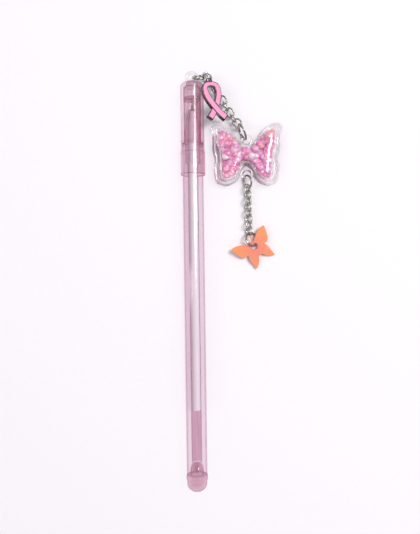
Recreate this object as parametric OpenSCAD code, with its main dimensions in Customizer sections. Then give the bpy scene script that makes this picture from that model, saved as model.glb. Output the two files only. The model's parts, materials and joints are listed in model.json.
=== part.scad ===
// Capped gel pen with a charm chain hanging from the loop on its cap.
// The pen lies flat: +Y points to the cap end, +Z is up, and the chain lies on the +X side.
// Everything is laid out from the tail end and the axis of the pen, then moved so that the
// origin is the bottom centre of the whole object.

/* [Pen] */
// Outside diameter of the barrel
barrel_d = 8.2; // [8:0.1:8.4]
// Bore of the barrel
bore_d = 4.1; // [4:0.05:4.4]
// Distance from the tail end to the upper face of the end plug's flange
flange_top = 6.7; // [6:0.1:8]
// Distance from the tail end to the mouth of the cap
cap_mouth = 126.2; // [124:0.1:128]
// Distance from the tail end to the front end of the barrel
barrel_end = 138.9; // [138:0.1:139]
// Distance from the tail end to the point of the pen
pen_tip = 154.3; // [154:0.1:154.6]
// Diameter of the writing ball
ball_d = 0.7; // [0.5:0.05:0.8]

/* [Cap] */
// Outside diameter of the cap's skirt
skirt_d = 9.7; // [9.5:0.1:10]
// Outside diameter of the cap above its skirt
cap_d = 9.35; // [9.2:0.05:9.5]
// Distance from the tail end to the top of the cap
cap_top = 163.1; // [163:0.1:164]
// Outside diameter of the loop
loop_d = 5.4; // [5:0.1:5.6]
// Thickness of the loop
loop_t = 1.6; // [1.4:0.1:1.7]

/* [Refill] */
// Outside diameter of the refill tube
refill_d = 3.5; // [3.2:0.1:3.6]
// Inside diameter of the refill tube
ink_d = 2.8; // [2.6:0.1:2.9]
// Distance from the tail end to the open end of the refill
refill_end = 32.4; // [20:0.1:60]
// Length of the ink column
ink_len = 98; // [20:1:100]

/* [Chain] */
// Wire diameter of the links and the large jump rings
wire_d = 0.8; // [0.7:0.05:0.8]
// Length of a link between the cap and the butterfly case
upper_link_len = 4.6; // [4.5:0.05:4.7]
// Length of a link below the butterfly case
lower_link_len = 4.2; // [4.15:0.05:4.3]
// Width of a link
link_w = 3.8; // [3.7:0.05:3.9]
// Spacing of the links between the cap and the butterfly case
upper_pitch = 2.85; // [2.8:0.05:2.95]
// Spacing of the links below the butterfly case
lower_pitch = 2.46; // [2.45:0.01:2.5]

/* [Charms] */
// Thickness of the butterfly case
case_t = 6.3; // [6:0.1:6.5]
// Thickness of the ribbon charm
ribbon_t = 1.8; // [1.6:0.1:1.8]
// Thickness of the pendant butterfly
pendant_t = 0.5; // [0.4:0.05:0.5]
// Width of one loose sequin across its corners
sequin_d = 2.2; // [1.8:0.1:2.2]

/* [Hidden] */
$fn = 64;
upper_n = 9;
lower_n = 8;

end_r = (link_w - wire_d) / 2;
axis_z = skirt_d / 2;
neck_r = barrel_d / 2 - 0.2;
snap_r = 4.15;
flange_r = barrel_d / 2 + 0.18;
skirt_bore_r = 4.25;
cap_bore_r = 3.45;
plug_foot = 157.1;
plug_head = 161.2;
counterbore_r = 3;
counterbore_foot = 131;
tube_end = 147;
holder_top = 151.6;
ink_top = 143.5;
nose_bore_r = 1.15;
socket_r = 0.55;
socket_foot = holder_top - 1.8;
stem_r = 2.3;
loop_hole_r = 1.45;
ball_y = pen_tip - ball_d / 2;
link_steps = 24;

// Unit vector with heading h in the plane of the table and elevation e above it
function dir(h, e) = [cos(e) * cos(h), cos(e) * sin(h), sin(e)];
function unit(v) = v / norm(v);
function heading(v) = atan2(v.y, v.x);
function rise(v) = atan2(v.z, norm([v.x, v.y]));
// Centre of link i, counted from 0, where each link runs half a pitch along its own direction
function link_at(s, p, h, e, i) =
    i == 0 ? s : link_at(s, p, h, e, i - 1) + p / 2 * (dir(h[i - 1], e[i - 1]) + dir(h[i], e[i]));
// A point at phi round a ring that runs from a to b, r from its centre and rolled by t
function in_ring(a, b, t, r, phi) =
    let(u = unit(b - a), side = [-sin(heading(u)), cos(heading(u)), 0], up = cross(u, side))
    (a + b) / 2 + r * (cos(phi) * u + sin(phi) * (cos(t) * side + sin(t) * up));

// Layout of the chain, from the pen's axis and tail end
loop_at = [0, 165, axis_z];
cap_ring_a = [0.35, 165.1, 4.95];
cap_ring_b = [5.55, 165.55, 4.6];
cap_ring_roll = -60;
upper_heading = [-22, -51, -61, -61, -60, -60, -60, -60, -47];
upper_rise = [-22, -20, -12, -4, 0, 0, 0, 14, 18];
upper_roll = [-72, 18];
upper_start = cap_ring_b + 0.4 * dir(upper_heading[0], upper_rise[0]);
case_at = [21.6, 134.8, 0];
top_eye_y = 5.25;
bottom_eye_y = -8.3;
case_ring_a = link_at(upper_start, upper_pitch, upper_heading, upper_rise, upper_n - 1)
    + 0.75 * dir(upper_heading[upper_n - 1], upper_rise[upper_n - 1]);
case_ring_b = case_at + [-0.3, top_eye_y + 0.6, 3.35];
case_ring_roll = 84;
lower_ring_a = case_at + [0.1, bottom_eye_y - 0.45, 3.2];
lower_ring_b = [22.1, 121.25, 1.9];
lower_ring_roll = 58;
lower_heading = [for (i = [1 : lower_n]) -89];
lower_rise = [for (i = [1 : lower_n]) 0];
lower_roll = [45, -45];
lower_start = [22, 120.95, 1.65];
pendant_ring_a = link_at(lower_start, lower_pitch, lower_heading, lower_rise, lower_n - 1)
    + [0, -0.8, 0.1];
pendant_at = [24.5, 97.65, 2.05];
pendant_ring_b = pendant_at + [-0.1, 0.2, 0.1];
pendant_ring_roll = -35;
pendant_heading = -53;
pendant_slope = 8;
ribbon_at = [6.65, 162.3, 6.6];
ribbon_lean = 9;
ribbon_tilt = 25;
ribbon_eye_y = 0.75;
ribbon_ring_a = in_ring(cap_ring_a, cap_ring_b, cap_ring_roll, 1.85, -45);
ribbon_ring_b = ribbon_at + [0.2, ribbon_eye_y + 0.12, 0.75];
ribbon_ring_roll = 45;
ribbon_wire_d = 0.5;

// The object's box, which puts the origin at its bottom centre
loop_top = loop_at.y + loop_d / 2;
case_half_w = 14.75;
middle = [(case_at.x + case_half_w - skirt_d / 2) / 2, loop_top / 2, 0];

// A cubic curve with four control points, and the two sides of a band along it
function curve(c, t) = pow(1 - t, 3) * c[0] + 3 * t * pow(1 - t, 2) * c[1]
    + 3 * t * t * (1 - t) * c[2] + pow(t, 3) * c[3];
function across(c, t) = let(d = unit(curve(c, t + 0.01) - curve(c, t - 0.01))) [-d.y, d.x];
function band_w(t) = 0.85 + 0.45 * sqrt(max(t, 0));
function band(c, inset, t0, t1) = let(n = 16) concat(
    [for (i = [0 : n]) let(t = t0 + (t1 - t0) * i / n)
        curve(c, t) + (band_w(t) - inset) * across(c, t)],
    [for (i = [n : -1 : 0]) let(t = t0 + (t1 - t0) * i / n)
        curve(c, t) - (band_w(t) - inset) * across(c, t)]);
// A smooth closed outline through the points p, with n steps from each point to the next
function smooth(p, n) = let(m = len(p)) [for (i = [0 : m - 1], k = [0 : n - 1])
    let(a = p[(i + m - 1) % m], b = p[i], c = p[(i + 1) % m], d = p[(i + 2) % m], t = k / n)
    0.5 * (2 * b + (c - a) * t + (2 * a - 5 * b + 4 * c - d) * t * t
        + (3 * b - a - 3 * c + d) * t * t * t)];
// A half outline given on the right, closed by its mirror image on the left
function mirrored(p) = concat(p, [for (i = [len(p) - 1 : -1 : 0]) [-p[i].x, p[i].y]]);

module placed() translate(-middle) children();
// A turned piece: each profile point is the radius and the distance from the tail end
module turned(profile) placed() translate([0, 0, axis_z]) rotate([-90, 0, 0]) rotate_extrude()
    polygon(profile);
module rod(r, y0, y1) turned([[0, y0], [r, y0], [r, y1], [0, y1]]);
// Turns +X to the direction of v, rolled about it
module aim(v, roll) rotate([0, -rise(v), heading(v)]) rotate([roll, 0, 0]) children();

// A jump ring from a to b, with its cut on the far side
module jump_ring(a, b, roll, d) placed() translate((a + b) / 2) aim(b - a, roll)
    rotate_extrude(angle = 357, start = 92) translate([norm(b - a) / 2, 0]) circle(d = d, $fn = link_steps);

module chain_link(length) {
    straight = (length - wire_d) / 2 - end_r;
    for (s = [-1, 1]) {
        translate([s * straight, 0, 0]) rotate_extrude(angle = 180, start = s > 0 ? -90 : 90)
            translate([end_r, 0]) circle(d = wire_d, $fn = link_steps);
        translate([-straight, s * end_r, 0]) rotate([0, 90, 0])
            cylinder(d = wire_d, h = 2 * straight, $fn = link_steps);
    }
}

module barrel() color("#ebd6e4", 0.5) turned([
    [bore_d / 2, flange_top], [barrel_d / 2, flange_top], [barrel_d / 2, cap_mouth - 0.2],
    [neck_r, cap_mouth - 0.2], [neck_r, barrel_end - 2],
    [snap_r, barrel_end - 1.8], [snap_r, barrel_end - 1.2], [neck_r, barrel_end - 1],
    [neck_r, barrel_end - 0.3], [barrel_d / 2 - 0.4, barrel_end],
    [counterbore_r, barrel_end], [counterbore_r, counterbore_foot], [bore_d / 2, counterbore_foot]]);

module end_plug() {
    body_r = barrel_d / 2 - 0.25;
    round_r = 1;
    color("#d9a3b8", 0.6) turned(concat([[0, 0]],
        [for (a = [0 : 15 : 90]) [body_r - 0.15 - round_r + round_r * sin(a), round_r - round_r * cos(a)]],
        [[body_r, flange_top - 1.8], [flange_r, flange_top - 1.8],
         [flange_r, flange_top - 0.3], [barrel_d / 2 - 0.05, flange_top],
         [bore_d / 2, flange_top], [bore_d / 2, flange_top + 3], [bore_d / 2 - 0.5, flange_top + 4.2],
         [1, flange_top + 4.2], [1, flange_top + 0.8], [0, flange_top + 0.8]]));
}

module front_section() {
    shoulder = 144.7;
    nose = 152.2;
    base_r = 2.95;
    nose_r = 1.35;
    color("#c98ba0", 0.7) turned(concat(
        [[refill_d / 2, counterbore_foot], [counterbore_r, counterbore_foot],
         [counterbore_r, barrel_end], [cap_bore_r - 0.1, barrel_end],
         [cap_bore_r - 0.1, shoulder - 0.3], [cap_bore_r - 0.4, shoulder]],
        [for (t = [0 : 0.125 : 1])
            [base_r - (base_r - nose_r) * pow(t, 1.6), shoulder + (nose - shoulder) * t]],
        [[nose_bore_r, nose], [nose_bore_r, tube_end + 1], [refill_d / 2, tube_end + 1]]));
}

module refill_tube() color("#efe6ee") turned([
    [ink_d / 2, refill_end], [refill_d / 2, refill_end], [refill_d / 2, tube_end], [ink_d / 2, tube_end]]);

module ink_column() color("#e9a9c6") rod(ink_d / 2, ink_top - ink_len, ink_top);

module ink_follower() color("#f4ecd2", 0.7) rod(ink_d / 2, ink_top - ink_len - 4, ink_top - ink_len);

module tip_holder() color("#f1e8ef") turned([
    [0, ink_top], [ink_d / 2, ink_top], [ink_d / 2, tube_end], [refill_d / 2, tube_end],
    [refill_d / 2, tube_end + 1], [nose_bore_r, tube_end + 1], [nose_bore_r, holder_top],
    [socket_r, holder_top], [socket_r, socket_foot], [0, socket_foot]]);

module tip_cone() color("#b9b4b0") placed() translate([0, 0, axis_z]) rotate([-90, 0, 0]) difference() {
    rotate_extrude() polygon([[0, socket_foot], [socket_r, socket_foot], [socket_r, holder_top],
        [nose_bore_r - 0.05, holder_top], [ball_d / 2 + 0.13, ball_y + 0.12], [0, ball_y + 0.12]]);
    translate([0, 0, ball_y]) sphere(d = ball_d + 0.04, $fn = 32);
}

module writing_ball() color("#8d8a88") placed() translate([0, ball_y, axis_z])
    sphere(d = ball_d, $fn = 32);

module cap_shell() {
    step = 135.7;
    inner_step = barrel_end + 0.2;
    edge = cap_top - 1.6;
    color("#d98fa6", 0.55) turned(concat(
        [[skirt_bore_r, cap_mouth], [skirt_d / 2 - 0.2, cap_mouth], [skirt_d / 2, cap_mouth + 0.2],
         [skirt_d / 2, step - 0.25], [cap_d / 2, step]],
        [for (a = [0 : 10 : 90]) [stem_r + 0.3 + (cap_d / 2 - stem_r - 0.3) * cos(a), edge + 1.6 * sin(a)]],
        [[stem_r, cap_top], [stem_r, plug_head], [cap_bore_r, plug_head], [cap_bore_r, inner_step],
         [skirt_bore_r, inner_step - 0.1]]));
}

module cap_seal() color("#f0c4d0") rod(cap_bore_r, plug_foot - 1.1, plug_foot);

module cap_loop() {
    neck_top = 163.5;
    color("#f6eef4", 0.4) union() {
        turned([[0, plug_foot], [cap_bore_r, plug_foot], [cap_bore_r, plug_head], [stem_r, plug_head],
            [stem_r, neck_top - 0.4], [1.9, neck_top], [0, neck_top]]);
        placed() translate(loop_at) difference() {
            cylinder(d = loop_d, h = loop_t, center = true);
            cylinder(r = loop_hole_r, h = loop_t + 1, center = true);
        }
    }
}

module cap_ring() color("#8f8a86") jump_ring(cap_ring_a, cap_ring_b, cap_ring_roll, wire_d);

module ribbon_ring() color("#8f8a86")
    jump_ring(ribbon_ring_a, ribbon_ring_b, ribbon_ring_roll, ribbon_wire_d);

// The ribbon's two strands, both starting at its top
front_strand = [[0, -0.85], [-5.3, -0.4], [-2.6, -8], [4.4, -14.7]];
back_strand = [[0, -0.85], [5.3, -0.4], [2.9, -8.5], [-2.7, -14.4]];

module ribbon_frame() placed() translate(ribbon_at) rotate([0, 0, ribbon_lean]) rotate([0, ribbon_tilt, 0])
    children();
// The two strands of the ribbon, the front one whole and the back one passing under it
module strands(inset, from) {
    polygon(band(front_strand, inset, from, 1 - inset / 18));
    difference() {
        polygon(band(back_strand, inset, from, 1 - inset / 18));
        polygon(band(front_strand, -inset, 0.5, 1));
    }
}
module enamel_area() strands(0.28, -0.01);

module ribbon_base() color("#6e6669") ribbon_frame() difference() {
    union() {
        linear_extrude(ribbon_t) {
            polygon(band(front_strand, 0, 0, 1));
            polygon(band(back_strand, 0, 0, 1));
        }
        translate([0, ribbon_eye_y, 0.3]) cylinder(r = 1.3, h = 0.7);
    }
    translate([0, ribbon_eye_y, -1]) cylinder(r = 0.85, h = 4);
    translate([0, 0, ribbon_t - 0.25]) linear_extrude(1) enamel_area();
}

module ribbon_enamel() color("#fdaed2") ribbon_frame()
    translate([0, 0, ribbon_t - 0.25]) linear_extrude(0.3) enamel_area();

module upper_link(i) color("#9a958f") placed()
    translate(link_at(upper_start, upper_pitch, upper_heading, upper_rise, i - 1))
    rotate([0, -upper_rise[i - 1], upper_heading[i - 1]]) rotate([upper_roll[i % 2], 0, 0])
    chain_link(upper_link_len);

module case_ring() color("#8f8a86") jump_ring(case_ring_a, case_ring_b, case_ring_roll, wire_d);

// Right half of the butterfly case, from the top notch round to the bottom notch
case_half = [[0.9, 3.2], [2.5, 4.1], [7, 10.4], [12.1, 12.7], [case_half_w, 10.9], [13.8, 7.2],
    [13.8, 2.2], [12.9, -2.2], [13.4, -5], [12.8, -10.2], [10.9, -12.1], [8.1, -12.6], [3.8, -10.5],
    [1, -5.2]];
// Right half of its window, which runs across the middle
window_half = [[0.6, 2.6], [2.6, 2.8], [5, 6], [9.4, 9.3], [11.2, 9.5], [11.3, 6.6], [11.3, 3.6],
    [10.3, 0.6], [10.2, -1.6], [9.8, -5], [9.3, -9.3], [7.4, -9.6], [4.4, -7.2], [2.4, -3.2], [0.6, -2.8]];

module case_outline() polygon(smooth(mirrored(case_half), 3));
module window(grow) offset(delta = grow) polygon(smooth(mirrored(window_half), 2));
module case_frame() placed() translate(case_at) children();

back_t = 1.2;
rim_top = 4.3;
eye_z = 3.2;
eye_t = 1.2;

module case_back() color("#f4eaf0", 0.5) case_frame() linear_extrude(back_t) case_outline();

module case_front() color("#f4eaf0", 0.5) case_frame() difference() {
    union() {
        translate([0, 0, back_t]) linear_extrude(rim_top - back_t) case_outline();
        translate([0, 0, rim_top]) linear_extrude(0.8) window(0.8);
        translate([0, 0, rim_top + 0.8]) linear_extrude(0.7) window(0.1);
        translate([0, 0, rim_top + 1.5]) linear_extrude(case_t - rim_top - 1.5) window(-0.8);
        for (y = [top_eye_y, bottom_eye_y]) translate([0, y, eye_z - eye_t / 2])
            cylinder(r = 2.6, h = eye_t);
    }
    translate([0, 0, back_t - 1]) linear_extrude(rim_top - back_t + 1.6) window(0);
    translate([0, 0, rim_top]) linear_extrude(1.4) window(-0.9);
    for (y = [top_eye_y, bottom_eye_y]) translate([0, y, 0]) cylinder(r = 1.4, h = case_t);
}

// Loose sequins in layers, row by row between the inner and the outer side of each wing
row_y = 1.9;
col_x = 2;
layer_z = 0.8;
function inner_x(y) = y > 2 ? 2.4 + (y - 2) * 0.95 : y < -2.4 ? 2.2 + (-2.4 - y) * 0.7 : 2.3;
function outer_x(y) = 10.2 + 0.12 * y;
sequins = [for (j = [-4 : 4], side = [-1, 1])
    let(y = j * row_y, x0 = inner_x(y) + 1.4)
    for (k = [0 : floor((outer_x(y) - 1.4 - x0) / col_x)])
    [side * (x0 + k * col_x), y, back_t + 0.2 + layer_z * ((j + 2 * k + 8) % 4), (j + 4) * 5 + k * 3 + side]];
function sequin_kind(s) = s[3] % 7 == 2 ? 1 : s[3] % 7 == 5 ? 2 : 0;

module sequin_group(kind) case_frame() for (s = sequins) if (sequin_kind(s) == kind)
    translate([s.x, s.y, s.z]) rotate([0, 0, s[3] * 17]) cylinder(d = sequin_d, h = 0.25, $fn = 6);

module pink_sequins() color("#f48fc0") sequin_group(0);
module orange_sequins() color("#f49a80") sequin_group(1);
module pearl_sequins() color("#f7d5f4") sequin_group(2);

module lower_ring() color("#8f8a86") jump_ring(lower_ring_a, lower_ring_b, lower_ring_roll, wire_d);

module lower_link(i) color("#9a958f") placed()
    translate(link_at(lower_start, lower_pitch, lower_heading, lower_rise, i - 1))
    rotate([0, 0, lower_heading[i - 1]]) rotate([lower_roll[i % 2], 0, 0]) chain_link(lower_link_len);

module pendant_ring() color("#8f8a86") jump_ring(pendant_ring_a, pendant_ring_b, pendant_ring_roll, wire_d);

// One side of the pendant butterfly, from its head back to its tail, as distance along and across
pendant_half = [[-1.9, 1], [-3.5, 3.5], [-4.7, 6.2], [-4.5, 8.2], [-2.4, 7.8], [0.4, 6.7], [1.6, 5.4],
    [1.5, 4.2], [3.2, 4.7], [5.6, 4.7], [7.9, 4.7], [7.2, 3.2], [5.9, 1.7], [4.4, 0.8]];
// The feeler on that side
feeler = [[-1.75, 0.12], [-2.8, 0.35], [-3.9, 0.8], [-4.7, 1.3], [-4.35, 1.7], [-3.6, 1.4], [-2.6, 0.95],
    [-1.95, 0.85]];
// Points with their two coordinates exchanged
function swapped(p) = [for (q = p) [q.y, q.x]];
pendant_steps = 3;
pendant_side = let(s = smooth(mirrored(swapped(pendant_half)), pendant_steps))
    concat(swapped(feeler), [for (i = [0 : pendant_steps * (len(pendant_half) - 1)]) s[i]]);

module pendant_butterfly() color("#fb9d76") placed() translate(pendant_at)
    rotate([0, pendant_slope, pendant_heading]) difference() {
        translate([0, -0.35, -pendant_t / 2]) linear_extrude(pendant_t)
            polygon(swapped(mirrored(pendant_side)));
        cylinder(r = 1.25, h = 4, center = true, $fn = 32);
    }

barrel();
end_plug();
front_section();
refill_tube();
ink_column();
ink_follower();
tip_holder();
tip_cone();
writing_ball();
cap_shell();
cap_seal();
cap_loop();
cap_ring();
ribbon_ring();
ribbon_base();
ribbon_enamel();
for (i = [1 : upper_n]) upper_link(i);
case_ring();
case_back();
case_front();
pink_sequins();
orange_sequins();
pearl_sequins();
lower_ring();
for (i = [1 : lower_n]) lower_link(i);
pendant_ring();
pendant_butterfly();
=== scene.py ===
"""Looks of a capped gel pen with a charm chain, built around its CAD frame.

The pen lies along +Y with its cap at the far end, and the chain of charms lies beside it on +X.
"""

import json
import math
import random

import bmesh
import bpy
import numpy as np
from mathutils import Matrix, Vector
from mathutils.geometry import delaunay_2d_cdt


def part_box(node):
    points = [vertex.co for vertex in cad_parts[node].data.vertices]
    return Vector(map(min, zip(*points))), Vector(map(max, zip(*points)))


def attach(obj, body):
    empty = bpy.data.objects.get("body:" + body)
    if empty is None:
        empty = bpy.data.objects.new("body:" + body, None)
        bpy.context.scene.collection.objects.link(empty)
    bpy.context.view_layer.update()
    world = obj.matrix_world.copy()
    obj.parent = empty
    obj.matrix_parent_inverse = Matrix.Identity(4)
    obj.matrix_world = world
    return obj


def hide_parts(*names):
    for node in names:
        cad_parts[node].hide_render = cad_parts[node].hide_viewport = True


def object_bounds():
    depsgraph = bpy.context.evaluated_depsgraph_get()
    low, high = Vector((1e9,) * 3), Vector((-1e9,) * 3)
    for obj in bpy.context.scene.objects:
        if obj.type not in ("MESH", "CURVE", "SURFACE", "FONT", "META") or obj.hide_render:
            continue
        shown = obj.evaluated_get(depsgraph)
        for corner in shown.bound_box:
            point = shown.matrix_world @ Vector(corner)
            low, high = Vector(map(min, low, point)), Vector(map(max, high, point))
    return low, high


MM = 0.001

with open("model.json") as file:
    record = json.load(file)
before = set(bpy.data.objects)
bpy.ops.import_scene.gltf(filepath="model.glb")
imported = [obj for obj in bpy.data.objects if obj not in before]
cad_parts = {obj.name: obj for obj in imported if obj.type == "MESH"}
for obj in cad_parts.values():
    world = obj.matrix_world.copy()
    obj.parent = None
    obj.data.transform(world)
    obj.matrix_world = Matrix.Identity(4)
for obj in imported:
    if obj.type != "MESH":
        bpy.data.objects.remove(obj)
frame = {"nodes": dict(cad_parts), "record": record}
cad_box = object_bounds()
random.seed(7)


# ---------------------------------------------------------------------------------------------
# Places read from the frame
# ---------------------------------------------------------------------------------------------

barrel_lo, barrel_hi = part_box("barrel")
plug_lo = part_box("end_plug")[0]
cap_lo, cap_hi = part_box("cap_shell")
tube_lo, tube_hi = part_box("refill_tube")
front_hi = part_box("front_section")[1]
seal_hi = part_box("cap_seal")[1]
loop_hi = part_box("cap_loop")[1]
case_lo, case_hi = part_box("case_back")
front_case_lo, front_case_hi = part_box("case_front")

AXIS = Vector(((barrel_lo.x + barrel_hi.x) / 2, plug_lo.y, (barrel_lo.z + barrel_hi.z) / 2))
# Radii in mm: the barrel and its bore, the counterbore at its mouth, the refill, and the hole in the cap
BARREL_R = 4.1
BORE_R = 2.05
SOCKET_R = 3.0
REFILL_R = 1.75
CAP_BORE_R = 3.45
CAP_R = (cap_hi.z - cap_lo.z) / 2 / MM


def along(y):
    """Distance in mm from the tail end of the pen to a place y of the frame."""
    return (y - AXIS.y) / MM


FLANGE_TOP = along(barrel_lo.y)
BARREL_END = along(barrel_hi.y)
CAP_MOUTH = along(cap_lo.y)
CAP_TOP = along(cap_hi.y)
TUBE_FOOT = along(tube_lo.y)
TUBE_END = along(tube_hi.y)
NOSE_END = along(front_hi.y)
SEAL_TOP = along(seal_hi.y)
# Where the front section's sleeve ends in the barrel, where its collar starts, and where the cap's
# bore narrows under the plug of its loop
SLEEVE_FOOT = 131.0
COLLAR_FOOT = 138.9
PLUG_SEAT = 161.2


# ---------------------------------------------------------------------------------------------
# Camera, light and floor
# ---------------------------------------------------------------------------------------------

def make_camera():
    """Straight above the pen, near its middle, turned a little so that the pen leans as it lies."""
    data = bpy.data.cameras.new("camera")
    data.lens = 37.75
    data.sensor_width = 36
    data.clip_start = 0.01
    camera = bpy.data.objects.new("camera", data)
    camera.location = Vector((-9.5, 5.57, 228.7)) * MM
    camera.rotation_euler = (0, 0, math.radians(-0.79))
    bpy.context.collection.objects.link(camera)
    bpy.context.scene.camera = camera


def make_softbox(name, place, target, size, power, colour=(1, 1, 1)):
    """A rectangular area light at place, facing target, all in metres."""
    data = bpy.data.lights.new(name, "AREA")
    data.shape = "RECTANGLE"
    data.size, data.size_y = size
    data.energy = power
    data.color = colour
    light = bpy.data.objects.new(name, data)
    light.location = place
    light.rotation_euler = (Vector(target) - Vector(place)).to_track_quat("-Z", "Y").to_euler()
    bpy.context.collection.objects.link(light)


def make_world(strength):
    """A pale room with a plain pale wall behind the object. What lights and is reflected in the object
    is darker straight overhead and near the floor, which gives metal and clear plastic contrast."""
    world = bpy.data.worlds.new("studio")
    world.use_nodes = True
    tree = world.node_tree
    background = tree.nodes["Background"]
    background.inputs["Strength"].default_value = strength
    height = tree.nodes.new("ShaderNodeSeparateXYZ")
    tree.links.new(tree.nodes.new("ShaderNodeTexCoord").outputs["Generated"], height.inputs[0])
    ramp = tree.nodes.new("ShaderNodeValToRGB")
    tree.links.new(height.outputs["Z"], ramp.inputs["Fac"])
    wall = tree.nodes.new("ShaderNodeMix")
    wall.data_type = "RGBA"
    wall.inputs[7].default_value = (1.7, 1.65, 1.7, 1)
    tree.links.new(tree.nodes.new("ShaderNodeLightPath").outputs["Is Camera Ray"], wall.inputs["Factor"])
    tree.links.new(ramp.outputs["Color"], wall.inputs[6])
    tree.links.new(wall.outputs[2], background.inputs["Color"])
    stops = [(0.0, (0.34, 0.32, 0.34)), (0.22, (0.40, 0.38, 0.40)), (0.42, (1.0, 0.98, 1.02)),
             (0.80, (1.0, 0.99, 1.0)), (0.93, (0.42, 0.40, 0.43))]
    while len(ramp.color_ramp.elements) < len(stops):
        ramp.color_ramp.elements.new(0.5)
    for element, (position, colour) in zip(ramp.color_ramp.elements, stops):
        element.position = position
        element.color = (*colour, 1)
    bpy.context.scene.world = world


def make_floor(material):
    """A plain floor 6 m across, just under the lowest point of the object."""
    mesh = bpy.data.meshes.new("floor")
    half = 3.0
    corners = [(-half, -half, 0), (half, -half, 0), (half, half, 0), (-half, half, 0)]
    mesh.from_pydata(corners, [], [(0, 1, 2, 3)])
    mesh.materials.append(material)
    floor = bpy.data.objects.new("floor", mesh)
    floor.location.z = cad_box[0].z - 0.00003
    bpy.context.collection.objects.link(floor)


# ---------------------------------------------------------------------------------------------
# Materials
# ---------------------------------------------------------------------------------------------

class Shade:
    """A node material under construction."""

    def __init__(self, name):
        self.material = bpy.data.materials.new(name)
        self.material.use_nodes = True
        self.tree = self.material.node_tree
        self.tree.nodes.clear()
        self.output = self.tree.nodes.new("ShaderNodeOutputMaterial")

    def add(self, kind, settings=None, inputs=None):
        made = self.tree.nodes.new("ShaderNode" + kind)
        for key, value in (settings or {}).items():
            setattr(made, key, value)
        for key, value in (inputs or {}).items():
            self.feed(made.inputs[key], value)
        return made

    def feed(self, socket, value):
        if isinstance(value, bpy.types.NodeSocket):
            self.tree.links.new(value, socket)
        elif isinstance(value, (tuple, list)) and len(value) == 3 and socket.type == "RGBA":
            socket.default_value = (*value, 1)
        else:
            socket.default_value = value

    def place(self, scale, stretch=(1, 1, 1)):
        """Object coordinates in mm, scaled and stretched."""
        coordinates = self.add("TexCoord").outputs["Object"]
        factors = tuple(scale * s / MM for s in stretch)
        return self.add("Mapping", inputs={"Vector": coordinates, "Scale": factors}).outputs[0]

    def noise(self, scale, stretch=(1, 1, 1), detail=3, roughness=0.55):
        settings = {"Vector": self.place(1, stretch), "Scale": scale, "Detail": detail,
                    "Roughness": roughness}
        return self.add("TexNoise", inputs=settings).outputs["Fac"]

    def ramp(self, value, stops):
        """A colour ramp through stops, each (position, colour)."""
        made = self.add("ValToRGB", inputs={"Fac": value})
        elements = made.color_ramp.elements
        while len(elements) < len(stops):
            elements.new(0.5)
        for element, (position, colour) in zip(elements, stops):
            element.position = position
            element.color = (*colour, 1)
        return made.outputs["Color"]

    def span(self, value, low, high):
        """value, from 0 to 1, mapped to low to high."""
        settings = {"Value": value, "To Min": low, "To Max": high}
        return self.add("MapRange", inputs=settings).outputs["Result"]

    def math(self, operation, a, b=0.0):
        made = self.add("Math", {"operation": operation})
        self.feed(made.inputs[0], a)
        self.feed(made.inputs[1], b)
        return made.outputs[0]

    def facing(self, blend=0.5):
        return self.add("LayerWeight", inputs={"Blend": blend}).outputs["Facing"]

    def lamp_path(self):
        """1 for light on its way from a lamp or a lit surface, 0 for what is seen."""
        path = self.add("LightPath")
        return self.math("MAXIMUM", path.outputs["Is Shadow Ray"], path.outputs["Is Diffuse Ray"])

    def mix_colour(self, factor, a, b, blend="MIX"):
        made = self.add("Mix", {"data_type": "RGBA", "blend_type": blend})
        self.feed(made.inputs["Factor"], factor)
        self.feed(made.inputs[6], a)
        self.feed(made.inputs[7], b)
        return made.outputs[2]

    def paint_side_shade(self, colour, tint, none, full):
        """colour, times tint by a share from 0 at none to 1 at full, in mm along X from the pen's axis:
        painted shade that darkens one flank of the pen.
        """
        across = self.add("SeparateXYZ", inputs={0: self.place(1)}).outputs["X"]
        share = self.add("MapRange", inputs={"Value": across, "From Min": AXIS.x / MM + none,
                                             "From Max": AXIS.x / MM + full}).outputs["Result"]
        return self.mix_colour(share, colour, self.mix_colour(1.0, colour, tint, "MULTIPLY"))

    def mix(self, factor, a, b):
        made = self.add("MixShader")
        self.feed(made.inputs[0], factor)
        self.tree.links.new(a, made.inputs[1])
        self.tree.links.new(b, made.inputs[2])
        return made.outputs[0]

    def bump(self, height, distance, strength=0.5):
        settings = {"Height": height, "Distance": distance * MM, "Strength": strength}
        return self.add("Bump", inputs=settings).outputs["Normal"]

    def finish(self, shader):
        self.tree.links.new(shader, self.output.inputs["Surface"])
        return self.material

    def finish_lit_through(self, shader, kept):
        """shader as it is seen, but a lamp's light passes through it, times the colour kept."""
        clear = self.add("BsdfTransparent", inputs={"Color": kept})
        return self.finish(self.mix(self.lamp_path(), shader, clear.outputs[0]))


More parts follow.
